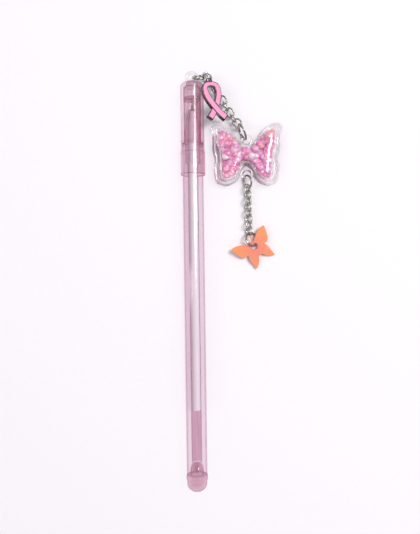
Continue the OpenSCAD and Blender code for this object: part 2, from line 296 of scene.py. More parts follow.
def clear_plastic(name, stops, haze=(0.9, 0.7, 0.8), cloud=0.05, rough=0.06, flow=0.06, shine=0.038,
                  shade=(0.995, 0.984, 0.99), painted_side_shade=None):
    """Thin clear plastic: stops give its tint from face on to edge on, cloud its share of milkiness,
    shade is what a lamp's light keeps as it passes through, and painted_side_shade tints its +X side further
    as painted shade."""
    s = Shade(name)
    flow_lines = s.noise(0.9, (1, 0.06, 1))
    fine = s.noise(4.0, (1, 0.3, 1), detail=2)
    tint = s.ramp(s.facing(), stops)
    streaks = s.ramp(flow_lines, [(0.3, (1 - flow,) * 3), (0.7, (1, 1, 1))])
    tint = s.mix_colour(1.0, tint, streaks, "MULTIPLY")
    # Painted shade: the +X flank is tinted deeper, as if the light left that side darker
    if painted_side_shade:
        tint = s.paint_side_shade(tint, painted_side_shade, -1.5, 3.0)
    normal = s.bump(fine, 0.01, 0.25)
    body = s.add("BsdfPrincipled", inputs={
        "Base Color": haze, "Roughness": s.span(fine, rough * 3, rough * 5), "Normal": normal})
    see = s.add("BsdfTransparent", inputs={"Color": tint})
    milky = s.mix(cloud, see.outputs[0], body.outputs[0])
    gloss = s.add("BsdfGlossy", inputs={
        "Color": (1, 1, 1), "Roughness": s.span(flow_lines, rough * 1.3, rough * 2.6), "Normal": normal})
    mirror = s.ramp(s.facing(), [(0.0, (shine,) * 3), (0.7, (shine * 1.3,) * 3),
                                 (1.0, (shine * 3.5,) * 3)])
    outside = s.math("SUBTRACT", 1.0, s.add("NewGeometry").outputs["Backfacing"])
    seen = s.mix(s.math("MULTIPLY", mirror, outside), milky, gloss.outputs[0])
    return s.finish_lit_through(seen, shade)


def case_glass(name, dull, bright, shade):
    """Thick clear acrylic, mottled from dull to bright, that bends what is seen through it. shade is
    what a lamp's light keeps as it passes through."""
    s = Shade(name)
    ripple = s.noise(0.35, detail=2)
    glass = s.add("BsdfPrincipled", inputs={
        "Base Color": s.ramp(ripple, [(0.3, dull), (0.7, bright)]),
        "Transmission Weight": 1.0, "IOR": 1.47,
        "Roughness": s.span(s.noise(3.0), 0.02, 0.05), "Normal": s.bump(ripple, 0.12, 0.35)})
    return s.finish_lit_through(glass.outputs[0], shade)


def metal(name, bright, dark, rough=0.18, grain=1.2, depth=0.02):
    """Plated metal, mottled from dark to bright by noise, with a fine uneven surface."""
    s = Shade(name)
    patches = s.noise(grain, detail=5)
    fine = s.noise(grain * 7, detail=2)
    colour = s.ramp(patches, [(0.32, dark), (0.58, bright)])
    shader = s.add("BsdfPrincipled", inputs={
        "Base Color": colour, "Metallic": 1.0,
        "Roughness": s.span(fine, rough * 0.6, rough * 1.6), "Normal": s.bump(fine, depth, 0.5)})
    return s.finish(shader.outputs[0])


def moulded(name, colours, rough=0.35, grain=1.5, coat=0.0, through=None):
    """Moulded plastic, rubber, gel or enamel, mottled between two colours. A lamp's light passes
    through it if through is given."""
    s = Shade(name)
    mottle = s.noise(grain, detail=4)
    fine = s.noise(grain * 6, detail=2)
    shader = s.add("BsdfPrincipled", inputs={
        "Base Color": s.ramp(mottle, [(0.3, colours[0]), (0.7, colours[1])]),
        "Roughness": s.span(fine, rough * 0.8, rough * 1.2), "Coat Weight": coat,
        "Normal": s.bump(fine, 0.008, 0.3)})
    if through:
        return s.finish_lit_through(shader.outputs[0], through)
    return s.finish(shader.outputs[0])


def refill_plastic(name):
    """Milky tube, darker towards its edges, and darker on its -X side by painted shade."""
    s = Shade(name)
    streak = s.noise(1.2, (1, 0.04, 1))
    milky = s.ramp(s.facing(), [(0.0, (0.97, 0.955, 0.985)), (0.45, (0.90, 0.87, 0.93)),
                                (0.8, (0.62, 0.54, 0.66)), (1.0, (0.45, 0.33, 0.42))])
    body = s.add("BsdfPrincipled", inputs={
        # Painted shade: the -X flank of the tube is tinted darker
        "Base Color": s.paint_side_shade(milky, (0.72, 0.63, 0.64), 0.9, -1.6),
        "Roughness": s.span(streak, 0.2, 0.32), "Normal": s.bump(streak, 0.01, 0.3)})
    return s.finish_lit_through(body.outputs[0], (0.94, 0.90, 0.93))


def flakes(name, stops, glow, pearl=0.15, film=420.0):
    """Pearly film flakes: each takes its own colour from the flake attribute, and lets the lamps'
    light through as glow."""
    s = Shade(name)
    own = s.add("Attribute", {"attribute_name": "flake"}).outputs["Fac"]
    grain = s.noise(2.2, detail=3)
    mottle = s.ramp(grain, [(0.3, (0.86, 0.7, 0.8)), (0.7, (1, 1, 1))])
    colour = s.mix_colour(0.35, s.ramp(own, stops), mottle, "MULTIPLY")
    shader = s.add("BsdfPrincipled", inputs={
        "Base Color": colour, "Roughness": s.span(grain, 0.28, 0.46), "Specular IOR Level": 0.3,
        "Coat Weight": pearl, "Coat Roughness": 0.12, "Thin Film Thickness": film, "Thin Film IOR": 1.6,
        "Normal": s.bump(grain, 0.03, 0.35)})
    return s.finish_lit_through(shader.outputs[0], glow)


def pendant_film(name):
    """Thin iridescent sheet that runs from orange at the wing tips to coral at the body."""
    s = Shade(name)
    lo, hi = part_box("pendant_butterfly")
    centre = (lo + hi) / 2
    offset = s.add("VectorMath", {"operation": "SUBTRACT"}, {
        0: s.add("TexCoord").outputs["Object"], 1: tuple(centre + Vector((0.9, -0.6, 0)) * MM)})
    distance = s.add("VectorMath", {"operation": "LENGTH"}, {0: offset.outputs[0]}).outputs["Value"]
    reach = s.math("MULTIPLY", distance, 1 / (7.5 * MM))
    wave = s.noise(0.25, detail=2)
    blend = s.math("ADD", reach, s.span(wave, -0.25, 0.25))
    colour = s.ramp(blend, [(0.1, (0.90, 0.245, 0.20)), (0.5, (0.92, 0.285, 0.165)),
                            (0.95, (0.92, 0.32, 0.12))])
    edge = s.mix_colour(s.facing(0.3), colour, (0.93, 0.35, 0.42))
    shader = s.add("BsdfPrincipled", inputs={
        "Base Color": edge, "Roughness": s.span(wave, 0.22, 0.34), "Coat Weight": 0.4,
        "Coat Roughness": 0.15, "Thin Film Thickness": 380.0, "Thin Film IOR": 1.5,
        "Normal": s.bump(s.noise(1.5), 0.02, 0.3)})
    return s.finish(shader.outputs[0])


def floor_paper(name):
    """Matt white paper with the faintest pink."""
    s = Shade(name)
    grain = s.noise(0.6, detail=4)
    shader = s.add("BsdfPrincipled", inputs={
        "Base Color": s.ramp(grain, [(0.3, (0.93, 0.897, 0.93)), (0.7, (0.94, 0.907, 0.94))]),
        "Roughness": 0.7, "Specular IOR Level": 0.2, "Normal": s.bump(grain, 0.01, 0.1)})
    return s.finish(shader.outputs[0])


# Tints of the clear plastics, each from face on (0) to edge on (1)
WALL = [(0.0, (0.955, 0.90, 0.935)), (0.40, (0.945, 0.87, 0.915)), (0.53, (0.86, 0.72, 0.79)),
        (0.75, (0.87, 0.73, 0.80)), (0.93, (0.84, 0.62, 0.71)), (1.0, (0.76, 0.50, 0.60))]
BORE = [(0.0, (0.985, 0.96, 0.975)), (0.42, (0.955, 0.90, 0.935)), (0.6, (0.80, 0.66, 0.73)),
        (0.85, (0.66, 0.47, 0.56)), (1.0, (0.50, 0.31, 0.40))]
# Painted shade: the bore where no refill lies gets a darker tint, standing in for the darkening that
# reflection inside the wall gives there
EMPTY_BORE_SHADE = [(0.0, (0.885, 0.725, 0.795)), (0.45, (0.87, 0.69, 0.77)), (0.65, (0.80, 0.60, 0.69)),
              (1.0, (0.55, 0.35, 0.45))]
CAP = [(0.0, (0.99, 0.96, 0.975)), (0.42, (0.98, 0.935, 0.96)), (0.56, (0.945, 0.83, 0.885)),
       (0.8, (0.93, 0.79, 0.85)), (0.94, (0.89, 0.67, 0.75)), (1.0, (0.80, 0.50, 0.59))]
CAP_BORE = [(0.0, (0.975, 0.845, 0.895)), (0.5, (0.955, 0.80, 0.86)), (0.8, (0.82, 0.57, 0.67)),
            (1.0, (0.58, 0.31, 0.41))]
PLUG = [(0.0, (0.765, 0.56, 0.625)), (0.12, (0.785, 0.585, 0.65)), (0.3, (0.865, 0.695, 0.76)),
        (0.55, (0.83, 0.645, 0.73)), (0.85, (0.78, 0.54, 0.64)), (1.0, (0.66, 0.37, 0.48))]
CAP_PLUG = [(0.0, (0.94, 0.84, 0.88)), (0.5, (0.92, 0.79, 0.845)), (0.85, (0.80, 0.56, 0.66)),
            (1.0, (0.66, 0.36, 0.46))]
TOUCH = [(0.0, (0.99, 0.97, 0.98)), (0.8, (0.96, 0.90, 0.93)), (1.0, (0.86, 0.72, 0.79))]
# Painted shade: tint of thin bands on the cap that stand in for dark edge lines
PAINTED_LINE = [(0.0, (0.84, 0.54, 0.63)), (0.5, (0.80, 0.46, 0.57)), (1.0, (0.72, 0.36, 0.46))]
SEAL = [(0.0, (0.93, 0.83, 0.87)), (1.0, (0.78, 0.58, 0.66))]
NOSE = [(0.0, (0.985, 0.92, 0.95)), (0.5, (0.96, 0.85, 0.895)), (0.85, (0.80, 0.55, 0.64)),
        (1.0, (0.56, 0.31, 0.40))]
LOOP = [(0.0, (0.985, 0.975, 0.98)), (0.6, (0.94, 0.91, 0.93)), (0.9, (0.80, 0.72, 0.77)),
        (1.0, (0.62, 0.52, 0.58))]

materials = {
    "barrel": clear_plastic("barrel_clear", WALL),
    "bore": clear_plastic("barrel_bore", BORE, rough=0.1),
    "empty_bore_shade": clear_plastic("barrel_bore_empty_shade", EMPTY_BORE_SHADE, rough=0.12, flow=0.1),
    "plug": clear_plastic("plug_pink", PLUG, cloud=0.12),
    "nose": clear_plastic("grip_pink", NOSE, cloud=0.12, flow=0.2),
    # Painted shade: the cap and its bore are tinted deeper on their +X flank
    "cap": clear_plastic("cap_pink", CAP, cloud=0.03, flow=0.1, shine=0.032, painted_side_shade=(0.95, 0.83, 0.865)),
    "cap_bore": clear_plastic("cap_bore_pink", CAP_BORE, cloud=0.05, flow=0.2, painted_side_shade=(0.91, 0.80, 0.83)),
    "touch": clear_plastic("touching_faces", TOUCH, cloud=0.02, shine=0.02),
    "cap_painted_line": clear_plastic("cap_painted_line_pink", PAINTED_LINE, cloud=0.1, shine=0.03),
    "loop": clear_plastic("loop_clear", LOOP, haze=(0.95, 0.93, 0.95), cloud=0.05),
    "cap_plug": clear_plastic("cap_plug_clear", CAP_PLUG, cloud=0.1, flow=0.12),
    "case": case_glass("case_rim_clear", (0.965, 0.925, 0.945), (0.99, 0.97, 0.98), (0.93, 0.91, 0.92)),
    "window": case_glass("case_window_clear", (0.985, 0.965, 0.975), (0.995, 0.985, 0.99),
                         (0.99, 0.98, 0.985)),
    "refill": refill_plastic("refill_white"),
    "ink": moulded("ink_pink", [(0.82, 0.28, 0.50), (0.9, 0.36, 0.58)], rough=0.2,
                   through=(0.97, 0.92, 0.95)),
    "follower": moulded("follower_gel", [(0.86, 0.8, 0.62), (0.92, 0.87, 0.7)], rough=0.15,
                        through=(0.97, 0.96, 0.94)),
    "seal": clear_plastic("seal_soft", SEAL, cloud=0.2, rough=0.3),
    "ring": metal("ring_metal", (0.50, 0.48, 0.46), (0.20, 0.19, 0.18), rough=0.16),
    "chain": metal("chain_metal", (0.72, 0.70, 0.66), (0.10, 0.092, 0.082), rough=0.2, grain=1.8, depth=0.04),
    "tip": metal("tip_metal", (0.62, 0.55, 0.52), (0.42, 0.36, 0.35), rough=0.25, depth=0.01),
    "ball": metal("ball_metal", (0.5, 0.49, 0.48), (0.36, 0.35, 0.34), rough=0.1, depth=0.002),
    "ribbon": metal("ribbon_metal", (0.22, 0.20, 0.21), (0.07, 0.06, 0.065), rough=0.12, grain=0.8),
    "enamel": moulded("ribbon_enamel", [(0.965, 0.335, 0.575), (0.985, 0.36, 0.605)], rough=0.22, grain=0.7,
                      coat=0.25),
    "pink": flakes("sequin_pink", [(0.0, (0.92, 0.24, 0.52)), (0.3, (1.0, 0.33, 0.63)),
                                   (0.75, (1.0, 0.42, 0.74)), (1.0, (1.0, 0.60, 0.84))], (0.78, 0.58, 0.70)),
    "orange": flakes("sequin_orange", [(0.0, (0.96, 0.33, 0.35)), (0.5, (0.98, 0.39, 0.40)),
                                       (1.0, (1.0, 0.48, 0.48))], (0.72, 0.56, 0.58), film=0.0),
    "pearl": flakes("sequin_pearl", [(0.0, (0.98, 0.68, 0.84)), (0.5, (0.98, 0.78, 0.92)),
                                     (1.0, (0.95, 0.92, 1.0))], (0.72, 0.66, 0.70), pearl=0.8),
    "pendant": pendant_film("pendant_film"),
    "floor": floor_paper("floor_paper"),
}


# ---------------------------------------------------------------------------------------------
# Mesh tools
# ---------------------------------------------------------------------------------------------

def rounded(points, radius, steps=4):
    """The open polyline points with each inner corner turned into a small curve."""
    result = [points[0]]
    for before, corner, after in zip(points, points[1:], points[2:]):
        a, b, c = Vector(before), Vector(corner), Vector(after)
        reach = min(radius, (a - b).length * 0.45, (c - b).length * 0.45)
        start, end = b + (a - b).normalized() * reach, b + (c - b).normalized() * reach
        for i in range(steps + 1):
            t = i / steps
            result.append(tuple((1 - t) ** 2 * start + 2 * t * (1 - t) * b + t * t * end))
    result.append(points[-1])
    return result


def add_object(name, mesh, body, node_materials, replaced, sharp=40.0):
    """Links a finished mesh as a piece that rides on body and stands for the replaced nodes."""
    for m in node_materials:
        mesh.materials.append(materials[m])
    mesh.shade_smooth()
    mesh.set_sharp_from_angle(angle=math.radians(sharp))
    piece = bpy.data.objects.new(name, mesh)
    bpy.context.collection.objects.link(piece)
    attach(piece, body)
    if replaced:
        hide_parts(*replaced)
    return piece


def to_mesh(bm, name):
    """A new mesh with what bm holds. bm is freed."""
    mesh = bpy.data.meshes.new(name)
    bm.to_mesh(mesh)
    bm.free()
    return mesh


def join_rows(bm, rows):
    """Faces of the closed tube through rows of vertices, each row a ring around the tube."""
    around = len(rows[0])
    for k in range(len(rows)):
        for j in range(around):
            n, m = (k + 1) % len(rows), (j + 1) % around
            bm.faces.new([rows[k][j], rows[n][j], rows[n][m], rows[k][m]])
    bmesh.ops.recalc_face_normals(bm, faces=bm.faces)


def lathe(sections, segments=112):
    """A mesh of surfaces turned about the pen's axis. Each section is (profile, material index),
    and a profile is a list of (radius, distance from the tail end) in mm."""
    bm = bmesh.new()
    for profile, index in sections:
        rows = []
        for radius, t in profile:
            y = AXIS.y + t * MM
            if radius < 1e-6:
                rows.append([bm.verts.new((AXIS.x, y, AXIS.z))])
                continue
            angles = [2 * math.pi * k / segments for k in range(segments)]
            r = radius * MM
            rows.append([bm.verts.new((AXIS.x + r * math.cos(a), y, AXIS.z + r * math.sin(a)))
                         for a in angles])
        for low, high in zip(rows, rows[1:]):
            for k in range(segments):
                n = (k + 1) % segments
                corners = [low[k % len(low)], low[n % len(low)], high[n % len(high)], high[k % len(high)]]
                corners = list(dict.fromkeys(corners))
                if len(corners) > 2:
                    bm.faces.new(corners).material_index = index
    bmesh.ops.remove_doubles(bm, verts=bm.verts, dist=1e-7)
    bmesh.ops.recalc_face_normals(bm, faces=bm.faces)
    return to_mesh(bm, "lathe")


def node_axes(node):
    """Centre and axes of a CAD node, longest first, and its extent along them in mm."""
    points = np.array([v.co for v in frame["nodes"][node].data.vertices])
    spread = points - points.mean(0)
    axes = np.linalg.svd(spread, full_matrices=False)[2]
    if np.linalg.det(axes) < 0:
        axes[2] *= -1
    local = spread @ axes.T
    centre = points.mean(0) + ((local.max(0) + local.min(0)) / 2) @ axes
    size = (local.max(0) - local.min(0)) / MM
    return Vector(centre), Matrix(axes.tolist()).transposed(), size


# ---------------------------------------------------------------------------------------------
# The pen
# ---------------------------------------------------------------------------------------------

def build_barrel():
    """Thick clear tube with a snap bead on its neck and a wide counterbore for the front section."""
    neck = BARREL_R - 0.2
    bead = BARREL_END - 1.5
    step = CAP_MOUTH - 0.2
    outer = rounded([(BORE_R + 1.2, FLANGE_TOP), (BARREL_R, FLANGE_TOP), (BARREL_R, step),
                     (neck, step)], 0.12)
    under = rounded([(neck, step), (neck, bead - 0.6), (neck + 0.2, bead - 0.3),
                     (neck + 0.2, bead + 0.3), (neck, bead + 0.6), (neck, BARREL_END - 0.3),
                     (neck - 0.25, BARREL_END), (SOCKET_R + 0.2, BARREL_END)], 0.12)
    front = rounded([(SOCKET_R + 0.2, BARREL_END), (SOCKET_R, BARREL_END), (SOCKET_R, SLEEVE_FOOT),
                     (BORE_R, SLEEVE_FOOT)], 0.1)
    full = [(BORE_R, SLEEVE_FOOT), (BORE_R, TUBE_FOOT)]
    # Painted shade: the empty part of the bore takes the darker tint
    empty = [(BORE_R, TUBE_FOOT), (BORE_R, FLANGE_TOP + 4.8)]
    tail = [(BORE_R, FLANGE_TOP + 4.8), (BORE_R + 0.3, FLANGE_TOP + 3.9),
            (BORE_R + 0.6, FLANGE_TOP + 2.4), (BORE_R + 0.78, FLANGE_TOP), (BORE_R + 1.2, FLANGE_TOP)]
    mesh = lathe([(outer, 0), (under, 3), (front, 3), (full, 1), (empty, 2), (tail, 3)])
    add_object("barrel_body", mesh, "pen", ["barrel", "bore", "empty_bore_shade", "touch"], ["barrel"])


def build_end_plug():
    """Rounded tail plug with a flange, and a hollow nose that tapers inside the bore."""
    body = BARREL_R - 0.12
    flange = BARREL_R + 0.17
    end = [(body * math.sin(a) ** 0.9, 3.3 * (1 - math.cos(a)))
           for a in np.linspace(0.0, math.pi / 2, 18)]
    skirt = rounded([(body, 3.5), (body, FLANGE_TOP - 1.8), (flange, FLANGE_TOP - 1.75),
                     (flange, FLANGE_TOP - 1.3), (flange, FLANGE_TOP - 0.3),
                     (BARREL_R, FLANGE_TOP - 0.02), (BORE_R, FLANGE_TOP - 0.02)], 0.15)
    nose = rounded([(BORE_R, FLANGE_TOP - 0.02), (BORE_R + 0.72, FLANGE_TOP),
                    (BORE_R + 0.52, FLANGE_TOP + 2.3), (BORE_R - 0.1, FLANGE_TOP + 3.9),
                    (1.25, FLANGE_TOP + 4.4), (1.0, FLANGE_TOP + 4.1), (1.0, FLANGE_TOP + 0.8),
                    (0.0, FLANGE_TOP + 0.6)], 0.5)
    mesh = lathe([(end + skirt + nose[1:], 0)])
    add_object("tail_plug", mesh, "pen", ["plug"], ["end_plug"])


def build_front_section():
    """Collar, shoulder with shallow grooves and an ogive nose, hollow for the refill."""
    collar = 3.35
    shoulder = 144.7
    hole, outside = REFILL_R + 0.03, SOCKET_R - 0.02
    grooves = []
    for k in range(4):
        t = COLLAR_FOOT + 1 + k * 1.1
        grooves += [(collar, t), (collar - 0.16, t + 0.18), (collar - 0.16, t + 0.42), (collar, t + 0.6)]
    ogive = [(2.95 - 1.6 * u ** 1.6, shoulder + (NOSE_END - shoulder) * u)
             for u in np.linspace(0, 1, 14)]
    sleeve = [(hole, COLLAR_FOOT), (hole, SLEEVE_FOOT), (outside, SLEEVE_FOOT),
              (outside, COLLAR_FOOT), (collar, COLLAR_FOOT)]
    grip = [(collar, COLLAR_FOOT)] + grooves + [(collar, shoulder - 0.3), (collar - 0.3, shoulder)]
    grip += ogive + [(1.16, NOSE_END), (1.16, TUBE_END + 1.02), (hole, TUBE_END + 1.02),
                     (hole, COLLAR_FOOT)]
    mesh = lathe([(sleeve, 1), (rounded(grip, 0.08, 2), 0)])
    add_object("front_grip", mesh, "pen", ["nose", "touch"], ["front_section"])


def build_refill():
    """Milky refill tube with a softened end."""
    inner = 1.4
    profile = rounded([(inner, TUBE_END - 1), (inner, TUBE_FOOT), (REFILL_R, TUBE_FOOT),
                       (REFILL_R, TUBE_END), (inner, TUBE_END), (inner, TUBE_END - 1)], 0.1)
    mesh = lathe([(profile, 0)], 72)
    add_object("refill_body", mesh, "pen", ["refill"], ["refill_tube"])


def build_tip():
    """Tip holder and a cone with turned steps."""
    lo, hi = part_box("tip_holder")
    head = along(hi.y)
    holder = rounded([(0.0, along(lo.y)), (1.38, along(lo.y)), (1.38, TUBE_END), (REFILL_R, TUBE_END),
                      (REFILL_R, TUBE_END + 1), (1.13, TUBE_END + 1), (1.13, head), (0.56, head),
                      (0.56, head - 1.8), (0.0, head - 1.8)], 0.08)
    add_object("tip_seat", lathe([(holder, 0)], 64), "pen", ["refill"], ["tip_holder"])
    lo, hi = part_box("tip_cone")
    foot, end = along(lo.y), along(hi.y)
    cone = rounded([(0.0, foot), (0.54, foot), (0.54, head), (1.08, head), (1.0, head + 0.35),
                    (0.78, head + 0.45), (0.48, end - 0.45), (0.44, end - 0.1), (0.38, end),
                    (0.2, end - 0.3), (0.0, end - 0.5)], 0.05)
    add_object("tip_metal", lathe([(cone, 0)], 64), "pen", ["tip"], ["tip_cone"])


def build_cap():
    """Cap with a wider skirt, a rounded shoulder and a bore that steps inside. Thin darker bands just outside
    its wall, at the rim, below the outer step and over the bore's step, are painted shade for the dark lines
    these edges show through the clear plastic.
    """
    skirt, upper = CAP_R, 4.675
    skirt_hole, top_hole, lip_hole = 4.25, 2.3, 4.4
    round_r, round_h = 2.6, 1.6
    step = 135.7
    inner_step = BARREL_END + 0.2
    edge = CAP_TOP - round_h
    shoulder = [(round_r + (upper - round_r) * math.cos(a), edge + round_h * math.sin(a))
                for a in np.linspace(0, math.pi / 2, 14)]
    outer = rounded([(lip_hole, CAP_MOUTH), (skirt - 0.12, CAP_MOUTH), (skirt, CAP_MOUTH + 0.15),
                     (skirt, step - 0.25), (upper, step), (upper, edge - 1)], 0.1) + shoulder
    outer += rounded([(round_r, CAP_TOP), (top_hole, CAP_TOP), (top_hole, CAP_TOP - 0.4)], 0.15)
    touch = [(top_hole, CAP_TOP - 0.4), (top_hole, PLUG_SEAT), (CAP_BORE_R, PLUG_SEAT),
             (CAP_BORE_R, SEAL_TOP)]
    bore = rounded([(CAP_BORE_R, SEAL_TOP), (CAP_BORE_R, inner_step), (skirt_hole, inner_step - 0.1),
                    (skirt_hole, inner_step - 1.2)], 0.08)
    skirt_bore = rounded([(skirt_hole, inner_step - 1.2), (skirt_hole, CAP_MOUTH),
                          (lip_hole, CAP_MOUTH)], 0.05)
    # Painted shade: thin bands that stand in for the dark lines of the rim and the steps
    painted_lines = [[(skirt + 0.01, CAP_MOUTH + 0.1), (skirt + 0.01, CAP_MOUTH + 0.5)],
            [(skirt + 0.01, step - 0.3), (skirt + 0.01, step - 0.55)],
            [(upper + 0.01, inner_step + 0.2), (upper + 0.01, inner_step + 0.45)]]
    sections = [(outer, 0), (touch, 2), (bore, 1), (skirt_bore, 2)] + [(lip, 3) for lip in painted_lines]
    add_object("cap_body", lathe(sections, 128), "cap", ["cap", "cap_bore", "touch", "cap_painted_line"],
               ["cap_shell"])


def build_cap_loop():
    """Plug block in the top of the cap, its neck, and the ring that the chain hooks into."""
    neck = 163.5
    foot, seat, wide = SEAL_TOP + 0.02, PLUG_SEAT - 0.02, CAP_BORE_R - 0.02
    block = rounded([(0.0, foot), (wide, foot), (wide, seat), (2.28, seat), (2.28, neck - 0.4),
                     (1.9, neck), (0.0, neck)], 0.12)
    bm = bmesh.new()
    bm.from_mesh(lathe([(block, 1)], 96))
    radius, hole, thick = 2.7, 1.45, 1.6
    centre = Vector((AXIS.x, loop_hi.y - radius * MM, AXIS.z))
    mid, half = (radius + hole) / 2, (radius - hole) / 2
    rows = []
    for k in range(72):
        a = 2 * math.pi * k / 72
        row = []
        for j in range(20):
            b = 2 * math.pi * j / 20
            cb, sb = math.cos(b), math.sin(b)
            r = mid + half * math.copysign(abs(cb) ** 0.55, cb)
            z = thick / 2 * math.copysign(abs(sb) ** 0.55, sb)
            row.append(bm.verts.new(centre + Vector((r * math.cos(a), r * math.sin(a), z)) * MM))
        rows.append(row)
    join_rows(bm, rows)
    add_object("cap_loop_body", to_mesh(bm, "cap_loop"), "cap", ["loop", "cap_plug"], ["cap_loop"])


# ---------------------------------------------------------------------------------------------
# Chain and rings
# ---------------------------------------------------------------------------------------------

WIRE_R = 0.4
BEAD_PITCH = 0.62


def build_link(node, body, seed):
    """A rounded link of knurled wire, in the place and at the roll of its CAD node."""
    centre, axes, size = node_axes(node)
    length, width = size[0] / 2 - WIRE_R, size[1] / 2 - WIRE_R
    straight = length - width
    bend = math.pi * width
    around, sides = 132, 16
    total = 2 * math.pi * width + 4 * straight
    rows = []
    bm = bmesh.new()
    for k in range(around):
        s = total * k / around
        if s < bend:
            a = s / width - math.pi / 2
            p, out = Vector((straight, 0, 0)), Vector((math.cos(a), math.sin(a), 0))
        elif s < bend + 2 * straight:
            p, out = Vector((straight - (s - bend), 0, 0)), Vector((0, 1, 0))
        elif s < 2 * bend + 2 * straight:
            a = (s - bend - 2 * straight) / width + math.pi / 2
            p, out = Vector((-straight, 0, 0)), Vector((math.cos(a), math.sin(a), 0))
        else:
            p, out = Vector((-straight + (s - 2 * bend - 2 * straight), 0, 0)), Vector((0, -1, 0))
        p = p + out * width
        row = []
        for j in range(sides):
            b = 2 * math.pi * j / sides
            bead = abs(math.sin(s * math.pi / BEAD_PITCH + seed + 0.5 * math.sin(2 * b)))
            r = WIRE_R * (0.78 + 0.18 * bead ** 0.6)
            local = p + out * (r * math.cos(b)) + Vector((0, 0, r * math.sin(b)))
            row.append(bm.verts.new(centre + axes @ (local * MM)))
        rows.append(row)
    join_rows(bm, rows)
    add_object(node + "_knurled", to_mesh(bm, node), body, ["chain"], [node], sharp=80)


def dress(node, material, bevel=0.0, slim=0.0):
    """Gives a CAD node its material, takes slim mm off its surface and softens its edges by bevel
    mm."""
    piece = frame["nodes"][node]
    if not piece.data.materials:
        piece.data.materials.append(materials[material])
    for slot in piece.material_slots:
        slot.link = "OBJECT"
        slot.material = materials[material]
    if bevel or slim:
        weld = piece.modifiers.new("weld", "WELD")
        weld.merge_threshold = 1e-6
    if slim:
        thin = piece.modifiers.new("slim", "DISPLACE")
        thin.direction = "NORMAL"
        thin.mid_level = 0
        thin.strength = -slim * MM
    if bevel:
        soft = piece.modifiers.new("soft_edges", "BEVEL")
        soft.width = bevel * MM
        soft.segments = 3
        soft.limit_method = "ANGLE"
        soft.angle_limit = math.radians(35)
        soft.harden_normals = False


# ---------------------------------------------------------------------------------------------
# Butterfly case
# ---------------------------------------------------------------------------------------------

# The right half of the case's outline and of its window, from the top round to the bottom, in mm
CASE_HALF = [(0.9, 3.2), (2.5, 4.1), (7, 10.4), (12.1, 12.7), (14.75, 10.9), (13.8, 7.2), (13.8, 2.2),
             (12.9, -2.2), (13.4, -5), (12.8, -10.2), (10.9, -12.1), (8.1, -12.6), (3.8, -10.5), (1, -5.2)]
WINDOW_HALF = [(0.6, 2.6), (2.6, 2.8), (5, 6), (9.4, 9.3), (11.2, 9.5), (11.3, 6.6), (11.3, 3.6),
               (10.3, 0.6), (10.2, -1.6), (9.8, -5), (9.3, -9.3), (7.4, -9.6), (4.4, -7.2),
               (2.4, -3.2), (0.6, -2.8)]


def smooth_loop(half, steps):
    """A closed outline through the points of half and their mirror image."""
    points = np.array(half + [(-x, y) for x, y in reversed(half)])
    result = []
    count = len(points)
    for i in range(count):
        a, b, c, d = (points[(i + k) % count] for k in (-1, 0, 1, 2))
        for k in range(steps):
            t = k / steps
            result.append(0.5 * (2 * b + (c - a) * t + (2 * a - 5 * b + 4 * c - d) * t * t
                                 + (3 * b - a - 3 * c + d) * t ** 3))
    return np.array(result)


def distance_to(loop, points):
    """Distance from each point to the closed loop, positive inside it."""
    a, b = loop, np.roll(loop, -1, axis=0)
    best = np.full(len(points), 1e9)
    inside = np.zeros(len(points), bool)
    for p, q in zip(a, b):
        d = q - p
        t = np.clip(((points - p) @ d) / max(d @ d, 1e-12), 0, 1)
        best = np.minimum(best, np.linalg.norm(points - p - t[:, None] * d, axis=1))
        crosses = (p[1] > points[:, 1]) != (q[1] > points[:, 1])
        with np.errstate(divide="ignore", invalid="ignore"):
            at = (q[0] - p[0]) * (points[:, 1] - p[1]) / (q[1] - p[1]) + p[0]
        inside ^= crosses & (points[:, 0] < at)
    return np.where(inside, best, -best)


outline = smooth_loop(CASE_HALF, 8)
window = smooth_loop(WINDOW_HALF, 8)
CASE_AT = Vector(((case_lo.x + case_hi.x) / 2, case_hi.y - outline[:, 1].max() * MM, case_lo.z))
# Heights in mm over the case's back: the rim, the outer edge of the rim, and the inside of the back
RIM_TOP = 4.3
EDGE_TOP = 1.9
BACK_T = 1.2
CASE_T = (front_case_hi.z - front_case_lo.z) / MM + BACK_T


def dome(depth):
    """Height of the window's dome over the rim at a distance inside the window's edge."""
    t = np.clip(depth / 1.7, 0, 1)
    return (CASE_T - RIM_TOP - 0.05) * np.sqrt(1 - (1 - t) ** 2)


def relief(points):
    """Height of the case's top face: a rolled outer rim, a trough, an inner rim and the domes."""
    edge = distance_to(outline, points)
    inner = distance_to(window, points)
    wave = 0.12 * np.sin(points[:, 1] * 2.6 + points[:, 0] * 0.8)
    roll = np.sqrt(np.clip(1 - (1 - np.clip(edge, 0, 0.9) / 0.9) ** 2, 0, 1))
    height = EDGE_TOP + (RIM_TOP - EDGE_TOP) * roll
    trough = np.exp(-((edge - 1.35) / 0.33) ** 2) * np.clip(-inner / 0.4, 0, 1)
    height -= (0.75 + wave) * trough
    height -= 0.55 * np.exp(-((inner + 0.05) / 0.28) ** 2)
    height += np.where(inner > 0, dome(inner), 0)
    return height


def triangulate(loops, points):
    """Vertices and triangles of the region inside loops[0], with points inside it as vertices."""
    vertices, edges = [], []
    for loop in loops:
        start = len(vertices)
        vertices += [tuple(p) for p in loop]
        edges += [(start + i, start + (i + 1) % len(loop)) for i in range(len(loop))]
    vertices += [tuple(p) for p in points]
    result = delaunay_2d_cdt([Vector(v) for v in vertices], edges, [], 1, 1e-5)
    return np.array([tuple(v) for v in result[0]]), [tuple(f) for f in result[2]]


